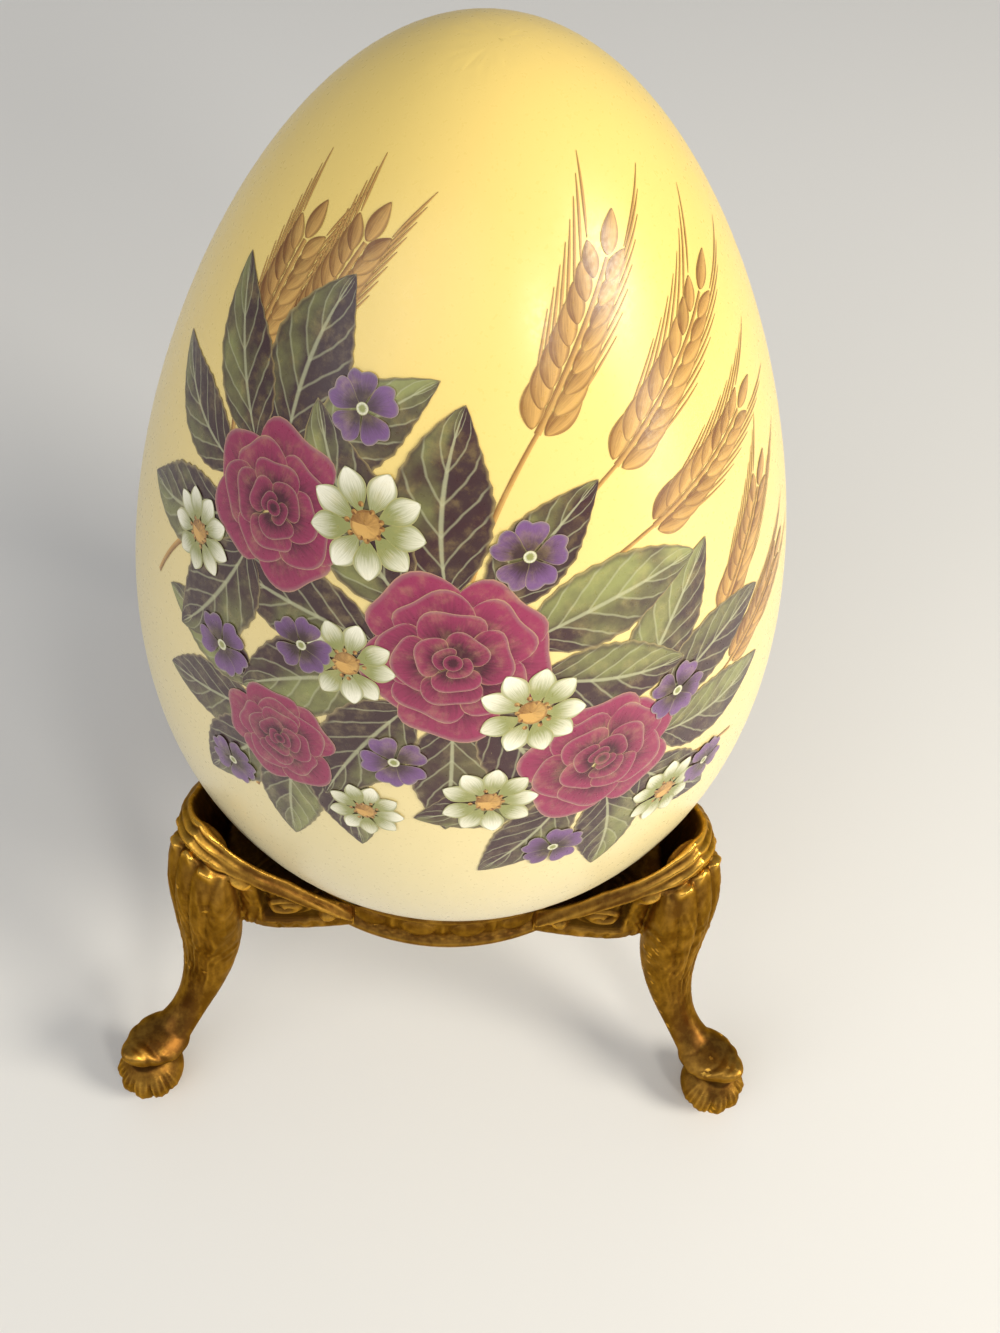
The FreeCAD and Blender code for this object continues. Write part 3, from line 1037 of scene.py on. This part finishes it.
def carve_paw(leg):
    """Toes round a ball, a crease under the pad, folds across it and a hollow over it, with a painted
    highlight on the pad's tip and painted shade under the pad.
    """
    z = leg.z
    radial = leg.radial
    toe = np.degrees(np.arctan2(leg.across, radial - FOOT + 0.3))
    on_paw = smoothstep(*PAW_TOP_FADE, z) * smoothstep(*PAW_SIDE_FADE, np.abs(toe))
    on_paw = on_paw * (radial > PAW_BACK)
    height = on_paw * (TOE_HEIGHT * np.abs(np.cos(math.pi * toe / TOE_SPAN)) ** 0.6 - TOE_SINK)
    height += on_paw * TOE_LINE_HEIGHT * np.cos(2 * math.pi * toe / TOE_LINE_SPAN)
    under_pad = ridge(z, UNDER_PAD_HEIGHT, 1.0) * smoothstep(*UNDER_PAD_FADE, radial)
    height -= UNDER_PAD_DEPTH * under_pad
    on_pad = smoothstep(*PAD_BASE_FADE, z) * smoothstep(*PAD_TOP_FADE, z)
    on_pad = on_pad * smoothstep(*PAD_BACK_FADE, radial)
    crease = radial - FOOT + 0.12 * leg.across**2 + 0.25 * np.sin(1.4 * leg.across + 0.6)
    height -= on_pad * FOLD_DEPTH * (ridge(crease, -0.2, 0.35) + ridge(crease, 1.0, 0.3))
    height -= INSTEP_DEPTH * ridge(radial, FOOT - 1.0, 1.8) * smoothstep(*INSTEP_FADE, z)
    # Painted highlight on the top of the pad's tip, and painted shade under the pad
    burnish_and_painted_light = 0.5 * ridge(radial, FOOT + 0.8, 1.5) * ridge(z, 12.0, 1.0) - 0.35 * under_pad
    return height, burnish_and_painted_light


def carving(points, normals, azimuth):
    """Height of the carved relief at points of a leg's casting, and how far it is burnished there, with
    painted highlights at the knees, leaf tips and pad tips and painted shade under the pads.
    """
    leg = LegSurface(points, normals, azimuth)
    height = np.zeros(len(points))
    burnish_and_painted_light = np.zeros(len(points))
    for carve in (carve_rim, carve_knee, carve_shank, carve_arms, carve_paw):
        relief, shine = carve(leg)
        height += relief
        burnish_and_painted_light += shine
    return height * smoothstep(*SOLE_FADE, leg.z) * smoothstep(*OUTSIDE_FADE, leg.facing), burnish_and_painted_light


# The pad's end is drawn up by the lift at its top, and by the lower lift as well at its underside
TIP_LIFT = 0.8
TIP_LOWER_LIFT = 1.9
TIP_LOWER_FADE = (13.5, 8.6)
TIP_REACH_FADE = (FOOT - 3.0, FOOT + 2.4)
TIP_BASE_FADE = (6.0, 8.6)
TIP_TOP_FADE = (17, 13)
TIP_NARROWING = 0.34
TOP_FADE = (8.5, 13.0)
TOP_REACH_FADE = (FOOT - 7, FOOT - 1)
TOP_NARROWING = 0.42


def turn_up_pad(points, azimuth):
    """Narrows the pad toward its top and draws its end up to a blunt tip over the ball."""
    x, y, z = points.T
    radial, across = turned(x, y, azimuth)
    on_pad = smoothstep(*TIP_BASE_FADE, z) * smoothstep(*TIP_TOP_FADE, z)
    tip = on_pad * smoothstep(*TIP_REACH_FADE, radial)
    top = on_pad * smoothstep(*TOP_FADE, z) * smoothstep(*TOP_REACH_FADE, radial)
    height = z + tip * (TIP_LIFT + TIP_LOWER_LIFT * smoothstep(*TIP_LOWER_FADE, z))
    across = across * (1 - TIP_NARROWING * tip) * (1 - TOP_NARROWING * top)
    x, y = turned(radial, across, -azimuth)
    return np.stack([x, y, height], -1)


# The metal's tone by its relief: where it is plain, on the ring, and what burnishing and painted light
# add, with painted highlights at the knees, leaf tips and pad tips and painted shade under the pads
PLAIN_TONE = 0.4
RING_TONE = 0.35
BURNISH_AND_PAINTED_LIGHT_TONE = 1.6
MOST_TONE = 2.2

FLOW_ROUNDS = 3


def even_casting(node):
    """A copy of a leg's plain casting, remeshed evenly at fine detail."""
    settings = bpy.context.scene.stand_settings
    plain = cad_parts[node]
    piece = bpy.data.objects.new(node + "_casting", plain.data.copy())
    bpy.context.scene.collection.objects.link(piece)
    remesh = piece.modifiers.new("even", "REMESH")
    remesh.mode = "VOXEL"
    remesh.voxel_size = settings.voxel * 1
    smooth = piece.modifiers.new("flow", "SMOOTH")
    smooth.iterations = FLOW_ROUNDS
    evaluated = piece.evaluated_get(bpy.context.evaluated_depsgraph_get())
    mesh = bpy.data.meshes.new_from_object(evaluated)
    piece.modifiers.clear()
    piece.data = mesh
    return piece


def carved_leg(node, azimuth, material):
    """A leg's casting with its carving, its soles kept on the table."""
    piece = even_casting(node)
    mesh = piece.data
    normals = read_vectors(mesh.vertex_normals, "vector")
    shaped = turn_up_pad(read_vectors(mesh.vertices, "co") / MM, azimuth)
    relief, burnish_and_painted_light = carving(shaped, normals, azimuth)
    points = shaped * MM + normals * (relief * MM)[:, None]
    points[:, 2] = np.maximum(points[:, 2], 0)
    mesh.vertices.foreach_set("co", points.astype(np.float32).ravel())
    # The tone carries the carving's height, the burnish, painted highlights and painted shade under the
    # pads
    tone = PLAIN_TONE + relief + BURNISH_AND_PAINTED_LIGHT_TONE * burnish_and_painted_light
    point_attribute(mesh, "relief", np.clip(tone, 0, MOST_TONE))
    mesh.materials.clear()
    mesh.materials.append(material)
    mesh.shade_smooth()
    mesh.update()
    return piece


# The seat ring, in millimetres. Its carving stands out as far as the plain band's surface and no
# farther.

RING_INSET = 0.25
RING_WALL = 2.4
RING_CLEARANCE = 0.25
RING_OVALS = 28
RING_TURNS = 960
RING_OUTER_ROWS = 41
RING_INNER_ROWS = 13


def band_relief(share, azimuth):
    """Height of the ring's carving, in millimetres, at a share of its height: a lip at each edge and
    a sunk band between, with ovals and darts in turn and a row of beads on each side of them."""
    wave = ((azimuth * RING_OVALS / (2 * math.pi)) % 1 - 0.5) * 2
    middle = (share - 0.50) / 0.26
    oval = np.maximum(1 - (wave / 0.72) ** 2 - middle**2, 0) ** 0.5
    dart = ridge(np.abs(wave), 1.0, 0.16) * ridge(share, 0.5, 0.24)
    lips = ridge(share, 0.90, 0.07) + 0.9 * ridge(share, 0.10, 0.09)
    beads = ridge(share, 0.79, 0.035) + ridge(share, 0.21, 0.035)
    beads = beads * (0.2 + 0.1 * np.cos(azimuth * RING_OVALS * 4))
    sunk = smoothstep(0.14, 0.20, share) * smoothstep(0.86, 0.80, share)
    return 0.25 * lips - 0.55 * sunk + 0.55 * oval + 0.3 * dart + beads


def circle(radius, azimuth, height):
    """Points round the ring's axis, at one height."""
    level = np.full(len(azimuth), height)
    return np.stack([radius * np.cos(azimuth), radius * np.sin(azimuth), level], -1)


def ring_mesh(material):
    """The seat ring, carved outside and hollowed for the egg inside, as one closed surface."""
    outer = ring_high.x
    tall = ring_high.z - ring_low.z
    azimuth = np.linspace(0, 2 * math.pi, RING_TURNS, endpoint=False)
    circles = []
    for share in np.linspace(0, 1, RING_OUTER_ROWS):
        relief = np.minimum(band_relief(share, azimuth), RING_INSET)
        radius = outer - RING_INSET * MM + relief * MM
        circles.append(circle(radius, azimuth, ring_low.z + tall * share))
    for share in np.linspace(1, 0, RING_INNER_ROWS):
        height = ring_low.z + tall * share
        egg_radius = np.interp(height, profile_height, profile_radius)
        radius = max(outer - RING_WALL * MM, egg_radius + RING_CLEARANCE * MM)
        circles.append(circle(radius, azimuth, height))
    faces = []
    for row in range(len(circles)):
        here = row * RING_TURNS
        above = (row + 1) % len(circles) * RING_TURNS
        for step in range(RING_TURNS):
            after = (step + 1) % RING_TURNS
            faces.append((here + step, here + after, above + after, above + step))
    points = np.concatenate(circles)
    piece = new_mesh("seat_ring_band", points, faces, material)
    point_attribute(piece.data, "relief", np.full(len(points), RING_TONE))
    return piece


# The stage

# Each lamp's place and width, in metres, and its tint
LAMPS = {
    "key": ((0.40, -0.16, 0.31), 0.20, (1.0, 0.95, 0.84)),
    "side": ((0.42, -0.17, 0.10), 0.12, (1.0, 0.94, 0.82)),
    "front": ((-0.12, -0.32, 0.35), 0.30, (1.0, 0.97, 0.90)),
    "window": ((0.22, -0.40, 0.36), 0.10, (1.0, 0.97, 0.90)),
    "fill": ((-0.40, -0.30, 0.30), 0.40, (0.97, 0.98, 1.0)),
}
LAMP_AIM = (0, 0, 0.05)
ROOM_COLOUR = (0.80, 0.82, 0.86, 1)
ROOM_STRENGTH = 0.42
CAMERA_PLACE = (-0.00234, -0.07767, 0.16123)
CAMERA_TURN = (33.056, -3.871, 0.508)


class EGG_OT_shell(bpy.types.Operator):
    """Gives the porcelain shell its satin glaze"""

    bl_idname = "egg.shell"
    bl_label = "Porcelain shell"

    def execute(self, context):
        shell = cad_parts["egg_shell"]
        shell.data.materials.clear()
        shell.data.materials.append(porcelain())
        shell.data.shade_smooth()
        return {"FINISHED"}


class EGG_OT_print(bpy.types.Operator):
    """Paints the floral spray on the shell, and the small sprigs at its sides and back"""

    bl_idname = "egg.print"
    bl_label = "Floral print"

    def execute(self, context):
        chance = random.Random(SEED)
        self.leaves = Brush()
        self.roses = Brush()
        self.daisies = Brush()
        self.violets = Brush()
        self.wheat = Brush()
        self.paint_front(chance)
        for azimuth in SPRIG_AZIMUTHS:
            self.paint_sprig((azimuth, SPRIG_ARC, SPRIG_HEADING), chance)
        daisy_colour = petal_colour("olive", "cream", 0.8)
        violet_colour = petal_colour("umber", "violet", 0.3)
        self.leaves.finish("print_leaves", painted("fired_leaf", leaf_colour))
        self.roses.finish("print_roses", painted("fired_rose", petal_colour("plum", "rose", 0.2)))
        self.daisies.finish("print_daisies", painted("fired_daisy", daisy_colour))
        self.violets.finish("print_violets", painted("fired_violet", violet_colour))
        self.wheat.finish("print_wheat", painted("fired_wheat", grain_colour))
        return {"FINISHED"}

    def paint_front(self, chance):
        """The garland, from the upper left down to the lower right."""
        for place, long, bend in EARS:
            paint_wheat(self.wheat, place, long, bend, WHEAT_LAYER, chance)
        for place, long, bend in STEMS:
            paint_stem(self.wheat, place, long, STEM_WIDTH, bend, STEM_LAYER)
        for layer, middle, leaves in LEAF_SPRAYS:
            paint_leaves(self.leaves, middle, leaves, layer, chance)
        for azimuth, arc, size in ROSES:
            paint_rose(self.roses, (azimuth, arc, 0), size, ROSE_LAYER, chance)
        for azimuth, arc, size in DAISIES:
            paint_daisy(self.daisies, self.wheat, (azimuth, arc, 0), size, DAISY_LAYER, chance)
        for azimuth, arc, size in VIOLETS:
            place = (azimuth, arc, chance.uniform(-30, 30))
            paint_violet(self.violets, self.daisies, place, size, VIOLET_LAYER, chance)

    def paint_sprig(self, place, chance):
        """A small spray: a stem with its leaves, a daisy at its foot and two violets."""
        end = paint_stem(self.wheat, place, SPRIG_LENGTH, EAR_STEM_WIDTH, SPRIG_BEND, STEM_LAYER)
        for share, turn in SPRIG_LEAF_TURNS:
            start = moved(place, SPRIG_LENGTH * share, 0, turn + 20 * share)
            tint = chance.random()
            bend = chance.uniform(-25, 25)
            self.leaves.blade(
                start, SPRIG_LEAF_LENGTH, SPRIG_LEAF_WIDTH, LOW_LEAF_LAYER + share, tint, bend,
                teeth=SPRIG_LEAF_TEETH,
            )
        layer = SPRIG_FLOWER_LAYER
        foot = moved(place, -1)
        paint_daisy(self.daisies, self.wheat, foot, SPRIG_DAISY_WIDTH, layer, chance)
        tip = moved(end, 1)
        paint_violet(self.violets, self.daisies, tip, SPRIG_END_VIOLET_WIDTH, layer, chance)
        beside = moved(place, 4, 4)
        paint_violet(self.violets, self.daisies, beside, SPRIG_SIDE_VIOLET_WIDTH, layer, chance)


class EGG_OT_ring(bpy.types.Operator):
    """Gives the seat ring its carved band"""

    bl_idname = "egg.ring"
    bl_label = "Seat ring"

    def execute(self, context):
        piece = ring_mesh(gilt_metal("gilt_ring"))
        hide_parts("seat_ring")
        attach(piece, "stand")
        return {"FINISHED"}


class EGG_OT_legs(bpy.types.Operator):
    """Carves the four cast legs"""

    bl_idname = "egg.legs"
    bl_label = "Cast legs"

    def execute(self, context):
        material = gilt_metal("gilt_casting")
        for node, azimuth in LEGS.items():
            piece = carved_leg(node, azimuth, material)
            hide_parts(node)
            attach(piece, "stand")
        return {"FINISHED"}


class EGG_OT_stage(bpy.types.Operator):
    """Lays the pale floor, soft lamps and the camera"""

    bl_idname = "egg.stage"
    bl_label = "Stage"

    def execute(self, context):
        settings = context.scene.stage_settings
        self.lay_floor(settings)
        for name, (place, size, tint) in LAMPS.items():
            self.hang_lamp(name, place, size, getattr(settings, name), tint)
        self.set_world()
        self.set_camera(settings)
        return {"FINISHED"}

    def lay_floor(self, settings):
        half = settings.floor_span / 2
        shader = Shader("pale_floor")
        shader.give(Base_Color=settings.floor, Roughness=0.9)
        corners = [(-half, -half, 0), (half, -half, 0), (half, half, 0), (-half, half, 0)]
        floor = new_mesh("floor", corners, [(0, 1, 2, 3)], shader.material, smooth=False)

    def hang_lamp(self, name, place, size, watts, tint):
        lamp = bpy.data.lights.new(name, "AREA")
        lamp.shape = "DISK"
        lamp.size = size
        lamp.energy = watts
        lamp.color = tint
        piece = bpy.data.objects.new(name, lamp)
        piece.location = place
        aim = Vector(LAMP_AIM) - Vector(place)
        piece.rotation_euler = aim.to_track_quat("-Z", "Y").to_euler()
        bpy.context.scene.collection.objects.link(piece)

    def set_world(self):
        world = bpy.data.worlds.new("studio")
        world.use_nodes = True
        background = world.node_tree.nodes["Background"]
        background.inputs["Color"].default_value = ROOM_COLOUR
        background.inputs["Strength"].default_value = ROOM_STRENGTH
        bpy.context.scene.world = world

    def set_camera(self, settings):
        view = bpy.data.cameras.new("view")
        view.sensor_width = 36
        view.lens = settings.lens
        view.clip_start = 0.005
        view.clip_end = 20
        piece = bpy.data.objects.new("view", view)
        piece.location = CAMERA_PLACE
        piece.rotation_euler = Euler([math.radians(angle) for angle in CAMERA_TURN])
        scene = bpy.context.scene
        scene.collection.objects.link(piece)
        scene.camera = piece
        scene.view_settings.view_transform = "Standard"


class EGG_PT_panel(bpy.types.Panel):
    bl_label = "Painted Egg"
    bl_idname = "EGG_PT_panel"
    bl_space_type = "VIEW_3D"
    bl_region_type = "UI"
    bl_category = "Egg"

    def draw(self, context):
        for operator in OPERATORS:
            self.layout.operator(operator.bl_idname)


OPERATORS = (EGG_OT_shell, EGG_OT_print, EGG_OT_ring, EGG_OT_legs, EGG_OT_stage)
SETTINGS = {
    "egg_settings": EggSettings,
    "print_settings": PrintSettings,
    "stand_settings": StandSettings,
    "stage_settings": StageSettings,
}


def register():
    for group in (*SETTINGS.values(), *OPERATORS, EGG_PT_panel):
        bpy.utils.register_class(group)
    for name, group in SETTINGS.items():
        setattr(bpy.types.Scene, name, PointerProperty(type=group))


def unregister():
    for name in SETTINGS:
        delattr(bpy.types.Scene, name)
    for group in (EGG_PT_panel, *OPERATORS, *SETTINGS.values()):
        bpy.utils.unregister_class(group)


def main():
    register()
    for operator in OPERATORS:
        area, name = operator.bl_idname.split(".")
        getattr(getattr(bpy.ops, area), name)()


if __name__ == "__main__":
    main()
